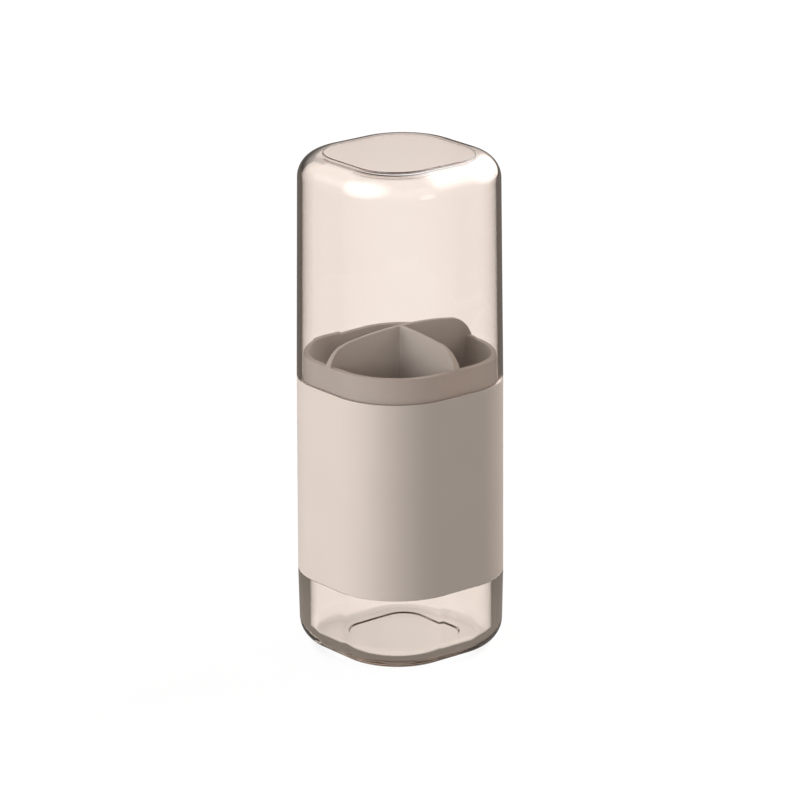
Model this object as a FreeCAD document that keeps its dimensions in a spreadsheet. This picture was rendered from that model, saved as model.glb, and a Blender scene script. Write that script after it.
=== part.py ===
import FreeCAD, Part
import math
import os

import Sketcher
from FreeCAD import Vector

# A covered toothbrush holder that stands on a table: a clear cup with a thick foot, an opaque sleeve
# around the cup, an opaque divider that drops into the cup's mouth, and a clear cap over them all.
# Millimetres, +Z up. The origin is the middle of the cup's underside, and the side faces look along X and Y.

document = FreeCAD.newDocument("toothbrush_holder")
sheet = document.addObject("Spreadsheet::Sheet", "Sizes")

driving_sizes = [
    ("body_width", 74.0, "across the flat sides, at the joint of cap and sleeve"),
    ("side_flat", 16.6, "flat part of each side, between the corner arcs"),
    ("foot_height", 30.5, "clear foot below the sleeve"),
    ("foot_draft", 1.2, "foot sides lean in towards the table, degrees"),
    ("foot_edge_radius", 10.0, "rounding under the foot"),
    ("floor_thickness", 4.4, "cup floor"),
    ("floor_cove_radius", 4.4, "hollow rounding inside the cup, wall to floor"),
    ("floor_panel_width", 35.4, "sunk panel in the cup floor, across its flats"),
    ("floor_panel_depth", 0.8, "sunk panel in the cup floor"),
    ("cup_wall", 2.5, "cup wall behind the sleeve"),
    ("sleeve_height", 79.7, "opaque sleeve"),
    ("sleeve_wall", 2.0, "sleeve at its top edge"),
    ("sleeve_draft", 0.16, "sleeve sides lean out towards the table, degrees"),
    ("sleeve_gap", 0.1, "sleeve to cup, all round"),
    ("cap_height", 89.8, "clear cap, from the sleeve to its top"),
    ("cap_wall", 2.0, "cap side wall"),
    ("cap_draft", 0.65, "cap sides lean in towards the top, degrees"),
    ("cap_top_thickness", 2.2, "cap top"),
    ("cap_edge_radius", 9.7, "rounding round the cap top"),
    ("cap_panel_margin", 0.3, "raised panel on the cap top, in from the end of the top rounding"),
    ("cap_panel_rise", 0.5, "raised panel on the cap top"),
    ("collar_height", 10.0, "divider collar above the cup rim"),
    ("collar_gap", 0.55, "divider collar to the mouth of the cap, all round"),
    ("mouth_flare", 1.55, "widening of the divider bore over the height of the collar"),
    ("skirt_depth", 26.0, "divider skirt below the cup rim"),
    ("skirt_wall", 1.5, "divider skirt"),
    ("skirt_gap", 0.3, "divider skirt to the cup, all round"),
    ("divider_thickness", 1.6, "upright dividing walls"),
    ("divider_rise", 10.3, "dividing walls above the collar rim, at the middle"),
    ("crown_radius", 300.0, "gentle crown along the top of the dividing walls"),
    ("shoulder_radius", 12.0, "rounding where the dividing walls fall to the rim"),
    ("shoulder_lip", 0.1, "end of the shoulder above the rim"),
    ("shoulder_margin", 0.1, "end of the shoulder outside the corners of the dividing walls"),
    ("flare_radius", 0.8, "hollow rounding where a dividing wall meets the collar"),
    ("edge_round", 0.4, "small rounding on moulded edges"),
]
for row, (alias, value, meaning) in enumerate(driving_sizes, start=1):
    sheet.set(f"A{row}", meaning)
    sheet.set(f"B{row}", str(value))
    sheet.setAlias(f"B{row}", alias)
document.recompute()

# Sizes that follow from the driving ones, as formulas.
# Every outline in plan is the same rounded square moved in or out, so all share one flat half length.
flat_half = "(Sizes.side_flat / 2)"
body_half = "(Sizes.body_width / 2)"
seat_level = "(Sizes.foot_height + Sizes.sleeve_height)"
cup_half = f"({body_half} - Sizes.sleeve_wall - Sizes.sleeve_gap)"
bore_half = f"({cup_half} - Sizes.cup_wall)"
sleeve_foot_half = f"({body_half} + Sizes.sleeve_height * tan(Sizes.sleeve_draft * 1deg))"
foot_base_half = f"({sleeve_foot_half} - Sizes.foot_height * tan(Sizes.foot_draft * 1deg))"
mouth_half = f"({body_half} - Sizes.cap_wall)"
collar_half = f"({mouth_half} - Sizes.collar_gap)"
skirt_half = f"({bore_half} - Sizes.skirt_gap)"
skirt_bore_half = f"({skirt_half} - Sizes.skirt_wall)"
rim_half = f"({skirt_bore_half} + Sizes.mouth_flare)"
divider_top = "(Sizes.collar_height + Sizes.divider_rise)"
lip_level = "(Sizes.collar_height + Sizes.shoulder_lip)"
wall_corner = f"hypot({collar_half}; Sizes.divider_thickness / 2 + Sizes.flare_radius)"
shoulder_reach = f"({wall_corner} + Sizes.shoulder_margin)"


def value_of(formula):
    result = sheet.evalExpression(formula.replace("Sizes.", ""))
    return getattr(result, "Value", result)


def new_body(label, level="0"):
    body = document.addObject("PartDesign::Body", label)
    body.Label = label
    body.setExpression("Placement.Base.z", f"{level} * 1mm")
    return body


def origin_feature(body, role):
    return next(item for item in body.Origin.OriginFeatures if item.Role == role)


def new_sketch(body, name, plane="XY_Plane", level="0", turn=FreeCAD.Rotation()):
    sketch = body.newObject("Sketcher::SketchObject", name)
    sketch.AttachmentSupport = (origin_feature(body, plane), [""])
    sketch.MapMode = "FlatFace"
    sketch.AttachmentOffset = FreeCAD.Placement(Vector(), turn)
    sketch.setExpression("AttachmentOffset.Base.z", f"{level} * 1mm")
    return sketch


def name_constraint(sketch, constraint, name, formula):
    index = sketch.addConstraint(constraint)
    sketch.renameConstraint(index, name)
    sketch.setExpression(f"Constraints.{name}", formula)


# Point numbers of a sketch element: its start, end and centre. The sketch origin is the start of its X axis.
START, END, CENTRE = 1, 2, 3
AXIS = -1
UPRIGHT = -2


def rounded_square(body, name, half, level="0", inner=None):
    # four flats and four corner arcs, all tangent, about the origin, and the same again inside for a ring
    sketch = new_sketch(body, name, level=level)
    add_rounded_square(sketch, half, "outer")
    if inner:
        add_rounded_square(sketch, inner, "inner")
    return sketch


def add_rounded_square(sketch, half, ring):
    reach = value_of(half)
    flat = value_of(flat_half)
    up = Vector(0, 0, 1)
    elements = []
    for corner in range(4):
        turn = FreeCAD.Rotation(up, 90 * corner)
        elements.append(Part.LineSegment(turn * Vector(reach, -flat, 0), turn * Vector(reach, flat, 0)))
        circle = Part.Circle(turn * Vector(flat, flat, 0), up, reach - flat)
        start = math.radians(90 * corner)
        elements.append(Part.ArcOfCircle(circle, start, start + math.pi / 2))
    placed = sketch.addGeometry(elements, False)
    sides = placed[0::2]
    corners = placed[1::2]
    for index, element in enumerate(placed):
        following = placed[(index + 1) % len(placed)]
        sketch.addConstraint(Sketcher.Constraint("Tangent", element, END, following, START))
    for side in sides[0::2]:
        sketch.addConstraint(Sketcher.Constraint("Vertical", side))
    for side in sides[1::2]:
        sketch.addConstraint(Sketcher.Constraint("Horizontal", side))
    for corner in corners[1:]:
        sketch.addConstraint(Sketcher.Constraint("Equal", corners[0], corner))
    first, third = corners[0], corners[2]
    sketch.addConstraint(Sketcher.Constraint("Symmetric", first, CENTRE, third, CENTRE, AXIS, START))
    across = Sketcher.Constraint("DistanceX", AXIS, START, sides[0], START, reach)
    flat_x = Sketcher.Constraint("DistanceX", AXIS, START, corners[0], CENTRE, flat)
    flat_y = Sketcher.Constraint("DistanceY", AXIS, START, corners[0], CENTRE, flat)
    name_constraint(sketch, across, f"{ring}_half_width", half)
    name_constraint(sketch, flat_x, f"{ring}_flat_half_x", flat_half)
    name_constraint(sketch, flat_y, f"{ring}_flat_half_y", flat_half)


def wall_outline(body, name, level):
    # one dividing wall with hollow flares where it meets the collar, drawn along X and turned to lie along -Y
    sketch = new_sketch(body, name, level=level, turn=FreeCAD.Rotation(Vector(0, 0, 1), -90))
    thin = value_of("Sizes.divider_thickness") / 2
    flare = value_of("Sizes.flare_radius")
    inner = value_of(rim_half)
    outer = value_of(collar_half)
    wide = thin + flare
    up = Vector(0, 0, 1)
    lower_flare = Part.Circle(Vector(inner - flare, -wide, 0), up, flare)
    upper_flare = Part.Circle(Vector(inner - flare, wide, 0), up, flare)
    sketch.addGeometry([
        Part.LineSegment(Vector(0, -thin, 0), Vector(inner - flare, -thin, 0)),
        Part.ArcOfCircle(lower_flare, 0, math.pi / 2),
        Part.LineSegment(Vector(inner, -wide, 0), Vector(outer, -wide, 0)),
        Part.LineSegment(Vector(outer, -wide, 0), Vector(outer, wide, 0)),
        Part.LineSegment(Vector(outer, wide, 0), Vector(inner, wide, 0)),
        Part.ArcOfCircle(upper_flare, 1.5 * math.pi, 2 * math.pi),
        Part.LineSegment(Vector(inner - flare, thin, 0), Vector(0, thin, 0)),
        Part.LineSegment(Vector(0, thin, 0), Vector(0, -thin, 0)),
    ], False)
    flank, flare_arc, end_side, end_face, far_end_side, far_flare_arc, far_flank, middle = range(8)
    for first, first_end, second, second_end in (
        (flare_arc, START, end_side, START),
        (end_side, END, end_face, START),
        (end_face, END, far_end_side, START),
        (far_end_side, END, far_flare_arc, END),
        (far_flank, END, middle, START),
        (middle, END, flank, START),
    ):
        sketch.addConstraint(Sketcher.Constraint("Coincident", first, first_end, second, second_end))
    sketch.addConstraint(Sketcher.Constraint("Tangent", flank, END, flare_arc, END))
    sketch.addConstraint(Sketcher.Constraint("Tangent", far_flare_arc, START, far_flank, START))
    for line in (flank, end_side, far_end_side, far_flank):
        sketch.addConstraint(Sketcher.Constraint("Horizontal", line))
    for line in (end_face, middle):
        sketch.addConstraint(Sketcher.Constraint("Vertical", line))
    for arc, rim_end in ((flare_arc, START), (far_flare_arc, END)):
        sketch.addConstraint(Sketcher.Constraint("Horizontal", arc, CENTRE, arc, rim_end))
    sketch.addConstraint(Sketcher.Constraint("Equal", flare_arc, far_flare_arc))
    sketch.addConstraint(Sketcher.Constraint("Symmetric", flank, START, far_flank, END, AXIS, START))
    sketch.addConstraint(Sketcher.Constraint("Vertical", flare_arc, START, far_flare_arc, END))
    thickness = Sketcher.Constraint("DistanceY", flank, START, far_flank, END, 2 * thin)
    radius = Sketcher.Constraint("Radius", flare_arc, flare)
    meeting = Sketcher.Constraint("DistanceX", AXIS, START, flare_arc, START, inner)
    ending = Sketcher.Constraint("DistanceX", AXIS, START, end_face, START, outer)
    name_constraint(sketch, thickness, "thickness", "Sizes.divider_thickness")
    name_constraint(sketch, radius, "flare", "Sizes.flare_radius")
    name_constraint(sketch, meeting, "meets_rim", rim_half)
    name_constraint(sketch, ending, "ends", collar_half)
    return sketch


def crown_outline(body, name, over):
    # half section of what lies above the dividing walls: a gentle crown, tangent to a round shoulder
    # that falls to the collar's outer face. The section is drawn where no wall stands.
    sketch = new_sketch(body, name, "XZ_Plane", turn=FreeCAD.Rotation(Vector(0, 1, 0), 180))
    apex = value_of(divider_top)
    crown = value_of("Sizes.crown_radius")
    shoulder = value_of("Sizes.shoulder_radius")
    end = Vector(value_of(shoulder_reach), value_of(lip_level), 0)
    crown_centre = Vector(0, apex - crown, 0)
    # the shoulder's centre lies on two circles, about the crown's centre and about the wall's end
    apart = end - crown_centre
    along = ((crown - shoulder) ** 2 - shoulder ** 2 + apart.Length ** 2) / (2 * apart.Length)
    aside = math.sqrt((crown - shoulder) ** 2 - along ** 2)
    direction = apart.normalize()
    shoulder_centre = crown_centre + direction * along + Vector(-direction.y, direction.x, 0) * aside
    to_end = end - shoulder_centre
    to_crown = shoulder_centre - crown_centre
    end_angle = math.atan2(to_end.y, to_end.x)
    join_angle = math.atan2(to_crown.y, to_crown.x)
    clear = Vector(end.x + value_of("Sizes.flare_radius"), value_of(over), 0)
    up = Vector(0, 0, 1)
    sketch.addGeometry([
        Part.ArcOfCircle(Part.Circle(crown_centre, up, crown), join_angle, math.pi / 2),
        Part.ArcOfCircle(Part.Circle(shoulder_centre, up, shoulder), end_angle, join_angle),
        Part.LineSegment(end, Vector(clear.x, end.y, 0)),
        Part.LineSegment(Vector(clear.x, end.y, 0), clear),
        Part.LineSegment(clear, Vector(0, clear.y, 0)),
        Part.LineSegment(Vector(0, clear.y, 0), Vector(0, apex, 0)),
    ], False)
    crown_arc, shoulder_arc, floor, side, roof, axis = range(6)
    sketch.addConstraint(Sketcher.Constraint("Tangent", crown_arc, START, shoulder_arc, END))
    for first, first_end, second in (
        (shoulder_arc, START, floor),
        (floor, END, side),
        (side, END, roof),
        (roof, END, axis),
    ):
        sketch.addConstraint(Sketcher.Constraint("Coincident", first, first_end, second, START))
    sketch.addConstraint(Sketcher.Constraint("Coincident", axis, END, crown_arc, END))
    for line in (floor, roof):
        sketch.addConstraint(Sketcher.Constraint("Horizontal", line))
    for line in (side, axis):
        sketch.addConstraint(Sketcher.Constraint("Vertical", line))
    for point in (CENTRE, END):
        sketch.addConstraint(Sketcher.Constraint("PointOnObject", crown_arc, point, UPRIGHT))
    name_constraint(sketch, Sketcher.Constraint("Radius", crown_arc, crown), "crown", "Sizes.crown_radius")
    name_constraint(sketch, Sketcher.Constraint("Radius", shoulder_arc, shoulder), "shoulder",
                    "Sizes.shoulder_radius")
    apex_height = Sketcher.Constraint("DistanceY", AXIS, START, crown_arc, END, apex)
    end_reach = Sketcher.Constraint("DistanceX", AXIS, START, floor, START, end.x)
    end_height = Sketcher.Constraint("DistanceY", AXIS, START, floor, START, end.y)
    clear_reach = Sketcher.Constraint("DistanceX", floor, START, floor, END, clear.x - end.x)
    clear_height = Sketcher.Constraint("DistanceY", AXIS, START, roof, START, clear.y)
    name_constraint(sketch, apex_height, "apex", divider_top)
    name_constraint(sketch, end_reach, "end_reach", shoulder_reach)
    name_constraint(sketch, end_height, "end_height", lip_level)
    name_constraint(sketch, clear_reach, "clear_reach", "Sizes.flare_radius")
    name_constraint(sketch, clear_height, "clear_height", over)
    return sketch


def pad(body, sketch, name, length, taper="0"):
    feature = body.newObject("PartDesign::Pad", name)
    feature.Profile = sketch
    feature.setExpression("Length", length)
    feature.setExpression("TaperAngle", taper)
    document.recompute()
    return feature


def pocket(body, sketch, name, depth, taper="0", upward=False):
    before = body.Tip.Shape.Volume
    feature = body.newObject("PartDesign::Pocket", name)
    feature.Profile = sketch
    feature.Reversed = upward
    feature.setExpression("Length", depth)
    feature.setExpression("TaperAngle", taper)
    document.recompute()
    if not feature.Shape.Volume < before - 1e-3:
        raise RuntimeError(f"{name} cuts nothing")
    return feature


def ring_edges(feature, level, half):
    # names of the edges that run at this level along the rounded square of this half width
    flat = value_of(flat_half)
    height = value_of(level)
    reach = value_of(half)
    names = []
    for number, edge in enumerate(feature.Shape.Edges, start=1):
        box = edge.BoundBox
        if max(abs(box.ZMin - height), abs(box.ZMax - height)) > 0.01:
            continue
        middle = edge.valueAt((edge.FirstParameter + edge.LastParameter) / 2)
        beyond = math.hypot(max(abs(middle.x) - flat, 0), max(abs(middle.y) - flat, 0))
        if abs(flat + beyond - reach) < 0.05:
            names.append(f"Edge{number}")
    return names


def round_ring(body, name, level, half, radius):
    base = body.Tip
    edges = ring_edges(base, level, half)
    if not edges:
        raise RuntimeError(f"{name} finds no edges")
    feature = body.newObject("PartDesign::Fillet", name)
    feature.Base = (base, edges)
    feature.setExpression("Radius", radius)
    document.recompute()
    return feature


def three_ways(body, name, wall):
    pattern = body.newObject("PartDesign::PolarPattern", name)
    pattern.Originals = [wall]
    pattern.Axis = (origin_feature(body, "Z_Axis"), [""])
    pattern.Angle = 180
    pattern.Occurrences = 3
    body.Tip = pattern
    document.recompute()
    return pattern


def trim_divider_tops(body, over):
    before = body.Tip.Shape.Volume
    sketch = crown_outline(body, "crown_outline", over)
    groove = body.newObject("PartDesign::Groove", "crown")
    groove.Profile = sketch
    groove.ReferenceAxis = (sketch, ["V_Axis"])
    groove.Angle = 360
    document.recompute()
    if not groove.Shape.Volume < before - 1e-3:
        raise RuntimeError("crown cuts nothing")


def round_wall_tops(body):
    # all edges above the rim that aren't upright lie along the tops of the dividing walls
    base = body.Tip
    rim = value_of("Sizes.collar_height")
    names = []
    for number, edge in enumerate(base.Shape.Edges, start=1):
        box = edge.BoundBox
        upright = box.ZLength > max(box.XLength, box.YLength)
        if box.ZMin > rim + 0.01 and not upright:
            names.append(f"Edge{number}")
    feature = body.newObject("PartDesign::Fillet", "wall_tops")
    feature.Base = (base, names)
    feature.setExpression("Radius", "min(Sizes.edge_round; 0.4 * Sizes.divider_thickness)")
    document.recompute()


def make_base_cup():
    body = new_body("base_cup")
    foot_outline = rounded_square(body, "cup_foot_outline", foot_base_half)
    pad(body, foot_outline, "cup_foot", "Sizes.foot_height", "Sizes.foot_draft")
    round_ring(body, "cup_foot_shoulder", "Sizes.foot_height", sleeve_foot_half, "Sizes.edge_round")
    cup_outline = rounded_square(body, "cup_wall_outline", cup_half, "Sizes.foot_height")
    pad(body, cup_outline, "cup_wall", "Sizes.sleeve_height")
    bore_outline = rounded_square(body, "cup_bore_outline", bore_half, seat_level)
    pocket(body, bore_outline, "cup_bore", f"{seat_level} - Sizes.floor_thickness")
    round_ring(body, "cup_cove", "Sizes.floor_thickness", bore_half, "Sizes.floor_cove_radius")
    round_ring(body, "cup_foot_edge", "0", foot_base_half, "Sizes.foot_edge_radius")
    panel_outline = rounded_square(body, "cup_panel_outline", "(Sizes.floor_panel_width / 2)",
                                   "Sizes.floor_thickness")
    pocket(body, panel_outline, "cup_panel", "Sizes.floor_panel_depth")
    return body


def make_sleeve():
    body = new_body("sleeve", "Sizes.foot_height")
    outline = rounded_square(body, "sleeve_outline", sleeve_foot_half)
    pad(body, outline, "sleeve_wall", "Sizes.sleeve_height", "-Sizes.sleeve_draft")
    bore_outline = rounded_square(body, "sleeve_bore_outline", f"({cup_half} + Sizes.sleeve_gap)",
                                  "Sizes.sleeve_height")
    pocket(body, bore_outline, "sleeve_bore", "Sizes.sleeve_height")
    round_ring(body, "sleeve_foot_edge", "0", sleeve_foot_half, "Sizes.edge_round")
    round_ring(body, "sleeve_top_edge", "Sizes.sleeve_height", body_half, "Sizes.edge_round")
    return body


def make_cap():
    body = new_body("cap", seat_level)
    shell_height = "(Sizes.cap_height - Sizes.cap_panel_rise)"
    top_half = f"({body_half} - {shell_height} * tan(Sizes.cap_draft * 1deg))"
    ceiling = f"({shell_height} - Sizes.cap_top_thickness)"
    ceiling_half = f"({mouth_half} - {ceiling} * tan(Sizes.cap_draft * 1deg))"
    panel_half = f"({top_half} - Sizes.cap_edge_radius - Sizes.cap_panel_margin)"
    outline = rounded_square(body, "cap_outline", body_half)
    pad(body, outline, "cap_shell", shell_height, "-Sizes.cap_draft")
    mouth_outline = rounded_square(body, "cap_mouth_outline", mouth_half)
    pocket(body, mouth_outline, "cap_bore", ceiling, "-Sizes.cap_draft", upward=True)
    round_ring(body, "cap_ceiling_cove", ceiling, ceiling_half, "Sizes.cap_edge_radius - Sizes.cap_wall")
    round_ring(body, "cap_top_edge", shell_height, top_half, "Sizes.cap_edge_radius")
    panel_outline = rounded_square(body, "cap_panel_outline", panel_half, shell_height)
    pad(body, panel_outline, "cap_panel", "Sizes.cap_panel_rise")
    hollow_outline = rounded_square(body, "cap_panel_hollow_outline", panel_half, ceiling)
    pocket(body, hollow_outline, "cap_panel_hollow", "Sizes.cap_panel_rise", upward=True)
    round_ring(body, "cap_mouth_edge", "0", body_half, "Sizes.edge_round")
    return body


def make_divider_insert():
    # its own zero level is the ledge that rests on the cup rim
    body = new_body("divider_insert", seat_level)
    skirt_end = "(-Sizes.skirt_depth)"
    full_height = "(Sizes.skirt_depth + Sizes.collar_height)"
    blank_outline = rounded_square(body, "insert_outline", collar_half, skirt_end)
    pad(body, blank_outline, "insert_blank", full_height)
    bore_outline = rounded_square(body, "insert_bore_outline", skirt_bore_half, skirt_end)
    pocket(body, bore_outline, "insert_bore", full_height, upward=True)
    funnel_outline = rounded_square(body, "funnel_outline", skirt_bore_half)
    lead_in = "atan(Sizes.mouth_flare / Sizes.collar_height)"
    pocket(body, funnel_outline, "funnel", "Sizes.collar_height", lead_in, upward=True)
    round_ring(body, "rim_outer_edge", "Sizes.collar_height", collar_half, "Sizes.edge_round")
    round_ring(body, "rim_inner_edge", "Sizes.collar_height", rim_half, "Sizes.edge_round")

    # three walls a quarter turn apart leave one wide and two small compartments
    outline = wall_outline(body, "wall_outline", skirt_end)
    wall = pad(body, outline, "dividing_wall", f"Sizes.skirt_depth + {divider_top} + Sizes.shoulder_lip")
    three_ways(body, "dividing_walls", wall)
    trim_divider_tops(body, f"({divider_top} + 2 * Sizes.shoulder_lip)")
    round_wall_tops(body)

    # what lies outside the skirt comes off up to the ledge
    skirt_outline = rounded_square(body, "skirt_outline", body_half, skirt_end, inner=skirt_half)
    pocket(body, skirt_outline, "skirt", "Sizes.skirt_depth", upward=True)
    return body


bodies = [make_base_cup(), make_sleeve(), make_cap(), make_divider_insert()]
document.recompute()

for item in document.Objects:
    if "Invalid" in item.State or "Error" in item.State:
        raise RuntimeError(f"{item.Name} failed: {item.State}")
os.makedirs("parts", exist_ok=True)
for body in bodies:
    shape = body.Shape
    if shape.isNull() or not shape.isValid() or len(shape.Solids) != 1:
        raise RuntimeError(f"{body.Label} is not one valid solid")
    shape.exportStep(f"parts/{body.Label}.step")
    box = shape.BoundBox
    print(f"{body.Label}: volume {shape.Volume:.1f}, from z {box.ZMin:.2f} to {box.ZMax:.2f}")
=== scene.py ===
import math

import bmesh
import bpy
from mathutils import Matrix, Vector


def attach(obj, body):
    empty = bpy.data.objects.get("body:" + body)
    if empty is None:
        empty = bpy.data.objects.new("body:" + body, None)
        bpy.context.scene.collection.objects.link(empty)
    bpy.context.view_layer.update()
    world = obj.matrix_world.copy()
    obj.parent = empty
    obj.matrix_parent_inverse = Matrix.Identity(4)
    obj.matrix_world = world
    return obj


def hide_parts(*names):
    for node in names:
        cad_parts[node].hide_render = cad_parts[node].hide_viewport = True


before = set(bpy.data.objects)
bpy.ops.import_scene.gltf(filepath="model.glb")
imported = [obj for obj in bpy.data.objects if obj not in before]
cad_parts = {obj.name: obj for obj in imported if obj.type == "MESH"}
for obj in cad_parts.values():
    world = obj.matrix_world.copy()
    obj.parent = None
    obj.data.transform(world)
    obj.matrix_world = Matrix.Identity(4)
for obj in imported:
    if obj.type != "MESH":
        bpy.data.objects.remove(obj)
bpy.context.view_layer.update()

print("frame loaded:", ", ".join(sorted(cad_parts)))

mm = 0.001
scene = bpy.context.scene

# every ring's plan is a rounded square with the same straight run along its sides
ringPlan = {
    "flatHalf": 8.3 * mm, "flatSteps": 4, "cornerSteps": 48,
    "roundSteps": 5, "roundStepsPerMm": 1.6,  # facets along a rounding of the section
    "mergeGap": 0.002 * mm, "sharpAngle": 32}


# one section of (half width, height, rounding) in mm, drawn as a wire at the end of the +X flat
def drawSection(bm, section, closed):
    flat = ringPlan["flatHalf"]
    points = [bm.verts.new((half * mm, flat, height * mm)) for half, height, rounding in section]
    pairs = list(zip(points, points[1:]))
    if closed:
        pairs.append((points[-1], points[0]))
    for pair in pairs:
        bm.edges.new(pair)
    for point, (half, height, rounding) in zip(points, section):
        if rounding > 0:
            ends = [edge.other_vert(point).co - point.co for edge in point.link_edges]
            corner = ends[0].angle(ends[1])
            steps = int(ringPlan["roundSteps"] + rounding * ringPlan["roundStepsPerMm"])
            bmesh.ops.bevel(bm, geom=[point], offset=rounding * mm / math.tan(corner / 2),
                            affect="VERTICES", offset_type="OFFSET", segments=steps, profile=0.5,
                            material=-1, clamp_overlap=False)


# the wire is turned round one corner, drawn along one flat, and copied to the other three sides
def sweepRing(bm):
    flat, flatSteps = ringPlan["flatHalf"], ringPlan["flatSteps"]
    wire = list(bm.verts) + list(bm.edges)
    bmesh.ops.spin(bm, geom=wire, cent=(flat, flat, 0), axis=(0, 0, 1), angle=math.pi / 2,
                   steps=ringPlan["cornerSteps"])
    bmesh.ops.spin(bm, geom=wire, cent=(0, 0, 0), axis=(0, 0, 1), angle=0, steps=flatSteps,
                   dvec=(0, -2 * flat / flatSteps, 0))
    quarter = list(bm.verts) + list(bm.edges) + list(bm.faces)
    bmesh.ops.spin(bm, geom=quarter, cent=(0, 0, 0), axis=(0, 0, 1), angle=math.pi * 1.5, steps=3,
                   use_duplicate=True)
    bmesh.ops.remove_doubles(bm, verts=bm.verts, dist=ringPlan["mergeGap"])
    bmesh.ops.holes_fill(bm, edges=[edge for edge in bm.edges if edge.is_boundary], sides=0)
    bmesh.ops.recalc_face_normals(bm, faces=bm.faces)


def onlyVerts(geom):
    return [item for item in geom if isinstance(item, bmesh.types.BMVert)]


def edgesOf(verts):
    return list(dict.fromkeys(edge for vert in verts for edge in vert.link_edges))


def facesOf(verts):
    return list(dict.fromkeys(face for vert in verts for face in vert.link_faces))


def newObject(bm, name, material):
    mesh = bpy.data.meshes.new(name)
    bm.to_mesh(mesh)
    bm.free()
    mesh.materials.append(material)
    item = bpy.data.objects.new(name, mesh)
    scene.collection.objects.link(item)
    return item


def finishPiece(bm, name, material, body, node):
    piece = newObject(bm, name, material)
    for face in piece.data.polygons:
        face.use_smooth = True
    piece.data.set_sharp_from_angle(angle=math.radians(ringPlan["sharpAngle"]))
    even = piece.modifiers.new("evenNormals", "WEIGHTED_NORMAL")  # wide faces keep their own direction
    even.mode = "FACE_AREA"
    even.keep_sharp = True
    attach(piece, body)
    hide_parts(node)
    print(name, "made,", len(piece.data.polygons), "faces")


# a number is set on the socket, another socket is linked to it
def feed(tree, socket, source):
    if isinstance(source, (int, float)):
        socket.default_value = source
    else:
        tree.links.new(source, socket)


def mathNode(tree, operation, *sources):
    node = tree.nodes.new("ShaderNodeMath")
    node.operation = operation
    for socket, source in zip(node.inputs, sources):
        feed(tree, socket, source)
    return node.outputs["Value"]


def vectorNode(tree, operation, source, fixed=(0, 0, 0)):
    node = tree.nodes.new("ShaderNodeVectorMath")
    node.operation = operation
    node.inputs[1].default_value = fixed
    tree.links.new(source, node.inputs[0])
    return node.outputs["Value"]


def blendNode(tree, share, below, above):
    node = tree.nodes.new("ShaderNodeMix")
    node.data_type = "FLOAT"
    for name, source in (("Factor", share), ("A", below), ("B", above)):
        feed(tree, node.inputs[name], source)
    return node.outputs["Result"]


def rangeNode(tree, value, start, end, bottom, top, curve="SMOOTHSTEP"):
    node = tree.nodes.new("ShaderNodeMapRange")
    node.interpolation_type = curve
    for name, number in (("From Min", start), ("From Max", end), ("To Min", bottom), ("To Max", top)):
        node.inputs[name].default_value = number
    tree.links.new(value, node.inputs["Value"])
    return node.outputs["Result"]


# grain shared by all the plastics: slow tone drift and a fine moulded texture
grainLook = {"flowScale": 38, "flowDetail": 3, "flowFrom": 0.3, "flowTo": 0.7,
             "fineDetail": 4, "fineRoughness": 0.6}


def makeGrain(look):
    group = bpy.data.node_groups.new("mouldedGrain", "ShaderNodeTree")
    for way, name, kind in (
            ("INPUT", "Tone", "Color"), ("INPUT", "Drift", "Float"), ("INPUT", "Grain Scale", "Float"),
            ("INPUT", "Gloss", "Float"), ("INPUT", "Gloss Spread", "Float"),
            ("OUTPUT", "Color", "Color"), ("OUTPUT", "Roughness", "Float"), ("OUTPUT", "Height", "Float")):
        group.interface.new_socket(name=name, in_out=way, socket_type="NodeSocket" + kind)
    given = group.nodes.new("NodeGroupInput")
    result = group.nodes.new("NodeGroupOutput")
    place = group.nodes.new("ShaderNodeTexCoord")

    flow = group.nodes.new("ShaderNodeTexNoise")  # flow of the moulding, a few centimetres across
    flow.inputs["Scale"].default_value = look["flowScale"]
    flow.inputs["Detail"].default_value = look["flowDetail"]
    group.links.new(place.outputs["Object"], flow.inputs["Vector"])
    swing = rangeNode(group, flow.outputs["Fac"], look["flowFrom"], look["flowTo"], -1, 1, "LINEAR")
    drift = mathNode(group, "MULTIPLY_ADD", swing, given.outputs["Drift"], 1)
    tint = group.nodes.new("ShaderNodeVectorMath")
    tint.operation = "SCALE"
    group.links.new(given.outputs["Tone"], tint.inputs[0])
    group.links.new(drift, tint.inputs["Scale"])
    group.links.new(tint.outputs["Vector"], result.inputs["Color"])
    gloss = mathNode(group, "MULTIPLY_ADD", swing, given.outputs["Gloss Spread"], given.outputs["Gloss"])
    group.links.new(gloss, result.inputs["Roughness"])

    fine = group.nodes.new("ShaderNodeTexNoise")  # the mould's own texture
    fine.inputs["Detail"].default_value = look["fineDetail"]
    fine.inputs["Roughness"].default_value = look["fineRoughness"]
    group.links.new(place.outputs["Object"], fine.inputs["Vector"])
    group.links.new(given.outputs["Grain Scale"], fine.inputs["Scale"])
    group.links.new(fine.outputs["Fac"], result.inputs["Height"])
    return group


grainGroup = makeGrain(grainLook)


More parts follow.
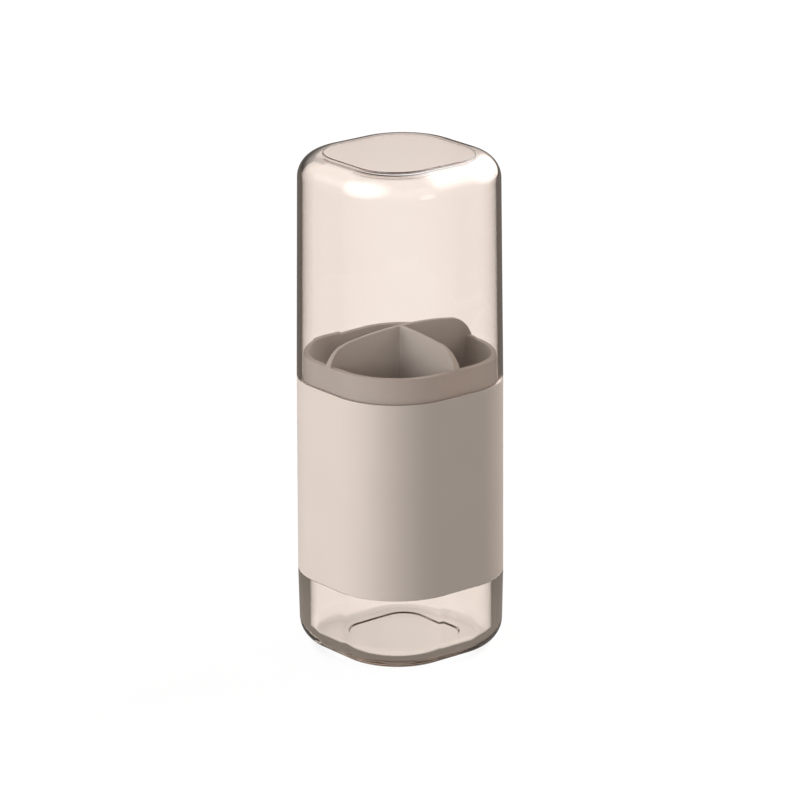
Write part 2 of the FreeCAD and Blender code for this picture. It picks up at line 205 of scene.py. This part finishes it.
# a material with the grain on its shader
def grainedMaterial(name, look):
    material = bpy.data.materials.new(name)
    material.use_nodes = True
    tree = material.node_tree
    shader = tree.nodes["Principled BSDF"]
    grain = tree.nodes.new("ShaderNodeGroup")
    grain.node_tree = grainGroup
    grain.inputs["Tone"].default_value = (*look["tone"], 1)
    grain.inputs["Drift"].default_value = look["drift"]
    grain.inputs["Grain Scale"].default_value = look["grainScale"]
    grain.inputs["Gloss"].default_value = look["roughness"]
    grain.inputs["Gloss Spread"].default_value = look["roughnessSpread"]
    tree.links.new(grain.outputs["Color"], shader.inputs["Base Color"])
    tree.links.new(grain.outputs["Roughness"], shader.inputs["Roughness"])
    bump = tree.nodes.new("ShaderNodeBump")
    bump.inputs["Strength"].default_value = look["bumpStrength"]
    bump.inputs["Distance"].default_value = look["bumpDepth"] * mm
    tree.links.new(grain.outputs["Height"], bump.inputs["Height"])
    tree.links.new(bump.outputs["Normal"], shader.inputs["Normal"])
    shader.inputs["IOR"].default_value = look["ior"]
    return material, tree, shader


# opaque satin plastic of the sleeve and the insert
def satinPlastic(name, look):
    material, tree, shader = grainedMaterial(name, look)
    shader.inputs["Specular IOR Level"].default_value = look["specular"]
    return material


# clear tinted plastic: it lets lamp light through to what stands inside
def clearPlastic(name, look):
    material, tree, shader = grainedMaterial(name, look)
    shader.inputs["Transmission Weight"].default_value = 1
    output = tree.nodes["Material Output"]
    depth = tree.nodes.new("ShaderNodeVolumeAbsorption")
    depth.inputs["Color"].default_value = (*look["depthColor"], 1)
    depth.inputs["Density"].default_value = look["depthDensity"]
    tree.links.new(depth.outputs["Volume"], output.inputs["Volume"])
    path = tree.nodes.new("ShaderNodeLightPath")
    clear = tree.nodes.new("ShaderNodeBsdfTransparent")
    clear.inputs["Color"].default_value = (*look["shadowTone"], 1)
    mix = tree.nodes.new("ShaderNodeMixShader")
    tree.links.new(path.outputs["Is Shadow Ray"], mix.inputs["Fac"])
    tree.links.new(shader.outputs["BSDF"], mix.inputs[1])
    tree.links.new(clear.outputs["BSDF"], mix.inputs[2])
    tree.links.new(mix.outputs["Shader"], output.inputs["Surface"])
    return material


# base cup: thick clear foot, thin wall up inside the sleeve
cupLook = {
    "section": [  # half width, height, rounding
        (12, 0, 0), (36.584, 0, 10), (37.22, 30.5, 0.15), (34.9, 30.5, 0.2), (34.9, 109.72, 0.4),
        (32.4, 109.72, 0.4), (32.4, 4.4, 5.4), (18.5, 4.4, 0.6), (18, 3.85, 0.5), (12, 3.85, 0)],
    "tone": (0.98, 0.932, 0.896), "drift": 0.004, "grainScale": 900, "roughness": 0.015,
    "roughnessSpread": 0.006, "bumpStrength": 0.02, "bumpDepth": 0.02, "ior": 1.49,
    "depthColor": (0.97, 0.80, 0.67), "depthDensity": 20, "shadowTone": (0.93, 0.965, 1)}

cup = bmesh.new()
drawSection(cup, cupLook["section"], closed=False)
sweepRing(cup)
finishPiece(cup, "baseCup", clearPlastic("clearCupPlastic", cupLook), "base", "base_cup")

# sleeve: opaque band between the foot and the cap, a hair short of both
sleeveLook = {
    "section": [  # its lip covers the cup's rim
        (35, 30.52, 0.2), (37.22, 30.52, 0.15), (37, 110.18, 0.12), (34.5, 110.18, 0.08),
        (34.5, 109.78, 0.08), (35, 109.78, 0)],
    "tone": (0.60, 0.52, 0.465), "drift": 0.012, "grainScale": 2600, "roughness": 0.48,
    "roughnessSpread": 0.02, "bumpStrength": 0.12, "bumpDepth": 0.03, "ior": 1.46, "specular": 0.4}

sleeve = bmesh.new()
drawSection(sleeve, sleeveLook["section"], closed=True)
sweepRing(sleeve)
finishPiece(sleeve, "sleeveBand", satinPlastic("sleevePlastic", sleeveLook), "base", "sleeve")

# divider insert: flared collar over a skirt, with three crowned walls a quarter turn apart
insertLook = {
    "section": [
        (30.6, 84.2, 0.2), (32.1, 84.2, 0.2), (32.1, 110.2, 0), (34.45, 110.2, 0.04),
        (34.45, 120.2, 0.4), (32.15, 120.2, 0.4), (30.6, 110.2, 0)],
    "wallThickness": 1.6, "wallFoot": 84.2, "wallReach": 34.43,
    "skirtReach": 31.4, "endFoot": 111,  # past the skirt a wall's end stops inside the collar
    "crownTop": 130.5, "crownRadius": 170, "crownSteps": 10,
    "shoulderAt": (23.08, 116.8), "shoulderRadius": 12, "shoulderSteps": 44,
    "flareRadius": 38, "flareStart": 27, "topRound": 0.4, "topSteps": 4, "roundAbove": 118,
    # the tone sits well below the sleeve's, though both are likely one plastic: painted shade for the dim
    # light under the cap
    "tone": (0.405, 0.36, 0.328), "drift": 0.012, "grainScale": 2600, "roughness": 0.5,
    "roughnessSpread": 0.02, "bumpStrength": 0.12, "bumpDepth": 0.03, "ior": 1.46, "specular": 0.4}


# one crowned wall along X, both ways from the middle or one way only, turned about the axis
def dividerWall(bm, look, bothWays, turn):
    before = set(bm.verts)

    def wallVerts():
        return [vert for vert in bm.verts if vert not in before]

    # the top line: crown, then round shoulder
    crownAt = Vector((0, 0, look["crownTop"] - look["crownRadius"])) * mm
    shoulderAt = Vector((look["shoulderAt"][0], 0, look["shoulderAt"][1])) * mm
    lean = (shoulderAt - crownAt).angle(Vector((0, 0, 1)))
    last = math.acos((look["wallReach"] * mm - shoulderAt.x) / (look["shoulderRadius"] * mm))
    start = bm.verts.new((0, 0, look["crownTop"] * mm))
    crown = bmesh.ops.spin(bm, geom=[start], cent=crownAt, axis=(0, 1, 0), angle=lean,
                           steps=look["crownSteps"])
    bmesh.ops.spin(bm, geom=onlyVerts(crown["geom_last"]), cent=shoulderAt, axis=(0, 1, 0),
                   angle=math.pi / 2 - lean - last, steps=look["shoulderSteps"])
    if bothWays:
        bmesh.ops.mirror(bm, geom=wallVerts() + edgesOf(wallVerts()), matrix=Matrix.Identity(4),
                         merge_dist=ringPlan["mergeGap"], axis="X")

    # drawn down to a sheet, then across to a wall
    down = bmesh.ops.extrude_edge_only(bm, edges=edgesOf(wallVerts()))["geom"]
    for vert in onlyVerts(down):
        inside = abs(vert.co.x) < look["skirtReach"] * mm
        vert.co.z = (look["wallFoot"] if inside else look["endFoot"]) * mm
    thick = look["wallThickness"] * mm
    bmesh.ops.translate(bm, verts=wallVerts(), vec=(0, -thick / 2, 0))
    other = bmesh.ops.extrude_face_region(bm, geom=facesOf(wallVerts()))["geom"]
    bmesh.ops.translate(bm, verts=onlyVerts(other), vec=(0, thick, 0))

    flare = look["flareRadius"] * mm
    for vert in wallVerts():  # the ends widen gently towards the collar
        into = abs(vert.co.x) - look["flareStart"] * mm
        if into > 0:
            vert.co.y += math.copysign(flare - math.sqrt(flare * flare - into * into), vert.co.y)
    bmesh.ops.recalc_face_normals(bm, faces=facesOf(wallVerts()))
    tops = [edge for edge in edgesOf(wallVerts())
            if all(vert.co.z > look["roundAbove"] * mm for vert in edge.verts)
            and edge.verts[0].co.y * edge.verts[1].co.y > 0]
    bmesh.ops.bevel(bm, geom=tops, offset=look["topRound"] * mm, offset_type="OFFSET", affect="EDGES",
                    segments=look["topSteps"], profile=0.5, material=-1, clamp_overlap=True)
    bmesh.ops.rotate(bm, verts=wallVerts(), cent=(0, 0, 0),
                     matrix=Matrix.Rotation(math.radians(turn), 3, "Z"))


insert = bmesh.new()
drawSection(insert, insertLook["section"], closed=True)
sweepRing(insert)
dividerWall(insert, insertLook, bothWays=True, turn=90)
dividerWall(insert, insertLook, bothWays=False, turn=0)
finishPiece(insert, "dividerInsert", satinPlastic("insertPlastic", insertLook), "insert", "divider_insert")

# cap: thin clear cover with a slightly raised panel on top and a hollow under it
capLook = {
    "section": [
        (12, 200, 0), (25.93, 200, 0.15), (26, 199.72, 0.12), (35.99, 199.72, 9.7), (37, 110.2, 0.06),
        (35, 110.2, 0.08), (34.01, 197.45, 7.7), (26.1, 197.45, 0.2), (25.95, 197.65, 0.2),
        (12, 197.65, 0)],
    "tone": (1, 0.995, 0.99), "drift": 0.004, "grainScale": 900, "roughness": 0.015,
    "roughnessSpread": 0.006, "bumpStrength": 0.02, "bumpDepth": 0.02, "ior": 1.49,
    "depthColor": (0.98, 0.69, 0.49), "depthDensity": 95, "shadowTone": (0.876, 0.948, 0.995)}

cap = bmesh.new()
drawSection(cap, capLook["section"], closed=False)
sweepRing(cap)
finishPiece(cap, "clearCap", clearPlastic("clearCapPlastic", capLook), "cap", "cap")


# stands at a place and looks back along a direction
def lookBack(place, direction):
    return Matrix.Translation(place) @ direction.to_track_quat("Z", "Y").to_matrix().to_4x4()


# camera at the photograph's viewing angle, lengths in metres
cameraLook = {"azimuth": 51.1675, "elevation": 18.0454, "roll": -0.23, "aim": (0, 0, 0.09954),
              "distance": 1.93026, "lens": 221.87, "sensor": 36, "farEnd": 20}
around = math.radians(cameraLook["azimuth"])
rise = math.radians(cameraLook["elevation"])
facing = Vector((math.sin(around) * math.cos(rise), -math.cos(around) * math.cos(rise), math.sin(rise)))
camera = bpy.data.objects.new("camera", bpy.data.cameras.new("camera"))
camera.data.lens = cameraLook["lens"]
camera.data.sensor_width = cameraLook["sensor"]
camera.data.clip_end = cameraLook["farEnd"]
stand = lookBack(Vector(cameraLook["aim"]) + facing * cameraLook["distance"], facing)
camera.matrix_world = stand @ Matrix.Rotation(math.radians(cameraLook["roll"]), 4, "Z")
scene.collection.objects.link(camera)
scene.camera = camera
print("camera set")


# degrees to the right of the camera and degrees up, as a direction
def directionOf(right, up):
    side = math.atan2(facing.y, facing.x) + math.radians(right)
    high = math.radians(up)
    return Vector((math.cos(side) * math.cos(high), math.sin(side) * math.cos(high), math.sin(high)))


noneToOne = 0.5  # parts a ray count of none from one or more


# 1 once a ray has met a mirror, 0 before
def mirrored(tree):
    path = tree.nodes.new("ShaderNodeLightPath")
    return mathNode(tree, "GREATER_THAN", path.outputs["Glossy Depth"], noneToOne)


# white to the camera, also through clear plastic; plain on matt surfaces; darker after a mirror bounce
def stageGlow(tree, white, plain, gloss):
    path = tree.nodes.new("ShaderNodeLightPath")
    seen = mathNode(tree, "MAXIMUM", path.outputs["Is Camera Ray"], path.outputs["Is Transmission Ray"])
    return blendNode(tree, mirrored(tree), blendNode(tree, seen, plain, white), gloss)


# a material of two shaders added together
def stagePaint(name, base):
    material = bpy.data.materials.new(name)
    material.use_nodes = True
    tree = material.node_tree
    tree.nodes.remove(tree.nodes["Principled BSDF"])
    base = tree.nodes.new(base)
    glow = tree.nodes.new("ShaderNodeEmission")
    both = tree.nodes.new("ShaderNodeAddShader")
    tree.links.new(base.outputs["BSDF"], both.inputs[0])
    tree.links.new(glow.outputs["Emission"], both.inputs[1])
    tree.links.new(both.outputs["Shader"], tree.nodes["Material Output"].inputs["Surface"])
    return material, tree, base, glow


# white floor: its own glow gives the white, its faint diffuse share keeps the shadow
floorLook = {
    "size": 6, "cells": 8, "level": -0.1 * mm, "share": 0.14, "bouncedShare": 0.03,
    "glow": 0.9, "plainGlow": 0.1, "farGlow": 0.1, "farFrom": 0.4, "farFull": 1.6,  # whiter far off
    "near": 0.03, "nearGloss": 0.205, "far": 0.2, "farGloss": 0.085,  # paler in gloss close to the foot
    "glossTone": (1, 0.9, 0.79),
    "shade": 0.15, "shadeAhead": 9 * mm, "shadeFrom": 25 * mm, "shadeFull": 37 * mm,
    "underFull": 33 * mm, "underTo": 37 * mm}  # soft shade under the back of the foot

floorPaint, tree, matt, glow = stagePaint("floorPaint", "ShaderNodeBsdfDiffuse")
place = tree.nodes.new("ShaderNodeTexCoord").outputs["Object"]
ahead = Vector((facing.x, facing.y, 0)).normalized() * floorLook["shadeAhead"]
away = vectorNode(tree, "LENGTH", place)
aside = vectorNode(tree, "DISTANCE", place, ahead)
fade = rangeNode(tree, away, floorLook["near"], floorLook["far"], floorLook["nearGloss"],
                 floorLook["farGloss"])
beyond = rangeNode(tree, away, floorLook["farFrom"], floorLook["farFull"], 0, floorLook["farGlow"])
shade = rangeNode(tree, aside, floorLook["shadeFrom"], floorLook["shadeFull"], 0, floorLook["shade"])
under = rangeNode(tree, away, floorLook["underTo"], floorLook["underFull"], 0, 1)
white = mathNode(tree, "ADD", beyond, floorLook["glow"])
white = mathNode(tree, "SUBTRACT", white, mathNode(tree, "MULTIPLY", shade, under))
tree.links.new(stageGlow(tree, white, floorLook["plainGlow"], fade), glow.inputs["Strength"])
bounced = mirrored(tree)
warm = tree.nodes.new("ShaderNodeMix")
warm.data_type = "RGBA"
warm.inputs["A"].default_value = (1, 1, 1, 1)
warm.inputs["B"].default_value = (*floorLook["glossTone"], 1)
tree.links.new(bounced, warm.inputs["Factor"])
tree.links.new(warm.outputs["Result"], glow.inputs["Color"])
share = blendNode(tree, bounced, floorLook["share"], floorLook["bouncedShare"])
tree.links.new(share, matt.inputs["Color"])

floorMesh = bmesh.new()
bmesh.ops.create_grid(floorMesh, x_segments=floorLook["cells"], y_segments=floorLook["cells"],
                      size=floorLook["size"], matrix=Matrix.Translation((0, 0, floorLook["level"])))
floor = newObject(floorMesh, "floor", floorPaint)
print("floor laid")

# sky of soft round lights, which only gloss and clear plastic show
skyLook = {  # each light: degrees right and up, degrees it is full to and gone at, strength
    "plainGlow": 0.18, "gloss": 0.1, "innerGloss": 0.38,
    "innerPatch": (150, 8, 6, 30, 1.1),
    "darkCard": (200, 10, 7, 24, 0.85),  # behind on the left, it draws the cap's shoulder
    "patches": [(-62, 36, 6, 46, 7), (115, 31, 8, 38, 6.5), (146, 32, 8, 34, 6), (52, 4, 2, 18, 3)]}


# a round light in the sky, soft towards its edge
def softLight(tree, rayWay, right, up, full, gone, strength):
    facingIt = vectorNode(tree, "DOT_PRODUCT", rayWay, directionOf(right, up))
    return rangeNode(tree, facingIt, math.cos(math.radians(gone)), math.cos(math.radians(full)), 0, strength)


world = bpy.data.worlds.new("studio")
scene.world = world
world.use_nodes = True
tree = world.node_tree
sky = tree.nodes["Background"]
sky.inputs["Color"].default_value = (1, 1, 1, 1)
rayWay = tree.nodes.new("ShaderNodeTexCoord").outputs["Generated"]
path = tree.nodes.new("ShaderNodeLightPath")
patches = skyLook["gloss"]
for row in skyLook["patches"]:
    patches = mathNode(tree, "ADD", softLight(tree, rayWay, *row), patches)
uncarded = mathNode(tree, "SUBTRACT", 1, softLight(tree, rayWay, *skyLook["darkCard"]))
within = mathNode(tree, "ADD", softLight(tree, rayWay, *skyLook["innerPatch"]), skyLook["innerGloss"])
within = mathNode(tree, "MULTIPLY", within, uncarded)
outer = mathNode(tree, "LESS_THAN", path.outputs["Transmission Depth"], noneToOne)
gloss = blendNode(tree, outer, within, patches)
white = blendNode(tree, path.outputs["Is Camera Ray"], uncarded, 1)
tree.links.new(stageGlow(tree, white, skyLook["plainGlow"], gloss), sky.inputs["Strength"])
print("sky made with", len(skyLook["patches"]), "soft lights")

# faint ring of light round the stage that only gloss shows, with no edge at its foot; in metres
ringLook = {"radius": 0.5, "segments": 96, "from": 0.23, "full": 0.42, "to": 0.8, "strength": 0.58}

ringPaint, tree, clear, glow = stagePaint("ringPaint", "ShaderNodeBsdfTransparent")
height = tree.nodes.new("ShaderNodeSeparateXYZ")
tree.links.new(tree.nodes.new("ShaderNodeTexCoord").outputs["Object"], height.inputs["Vector"])
rising = rangeNode(tree, height.outputs["Z"], ringLook["from"], ringLook["full"], 0, ringLook["strength"])
tree.links.new(mathNode(tree, "MULTIPLY", mirrored(tree), rising), glow.inputs["Strength"])

ringMesh = bmesh.new()
bmesh.ops.create_circle(ringMesh, segments=ringLook["segments"], radius=ringLook["radius"],
                        matrix=Matrix.Translation((0, 0, ringLook["from"])))
raised = bmesh.ops.extrude_edge_only(ringMesh, edges=ringMesh.edges)["geom"]
bmesh.ops.translate(ringMesh, verts=onlyVerts(raised), vec=(0, 0, ringLook["to"] - ringLook["from"]))
ring = newObject(ringMesh, "glossRing", ringPaint)
ring.visible_camera = False
ring.visible_diffuse = False
ring.visible_shadow = False
print("gloss ring set")

# softboxes that light the matt surfaces
lampAim = Vector((0, 0, 0.1))
lampLook = {  # right, up, distance, width, height, watts, colour
    "keyLeft": (-82, 22, 2.1, 1.45, 1.75, 38, (1, 1, 1)),
    "keyFront": (-35, 8, 2.4, 0.8, 0.95, 26.8, (1, 1, 1)),
    "fillRight": (25, 16, 2.5, 1.3, 1.1, 6.7, (1, 0.95, 0.9)),
    "rimRight": (122, 28, 1.9, 1.1, 1.4, 32, (1, 0.96, 0.92))}
for name, (right, up, distance, wide, tall, watts, color) in lampLook.items():
    towards = directionOf(right, up)
    lamp = bpy.data.objects.new(name, bpy.data.lights.new(name, "AREA"))
    lamp.data.shape = "RECTANGLE"
    lamp.data.size = wide
    lamp.data.size_y = tall
    lamp.data.energy = watts
    lamp.data.color = color
    lamp.matrix_world = lookBack(lampAim + towards * distance, towards)
    lamp.visible_camera = False
    lamp.visible_glossy = False
    lamp.visible_transmission = False
    scene.collection.objects.link(lamp)
print("lamps set:", ", ".join(lampLook))

scene.view_settings.view_transform = "Standard"
scene.cycles.max_bounces = 24  # light runs far along the walls of clear plastic
scene.cycles.glossy_bounces = 16
scene.cycles.transmission_bounces = 16
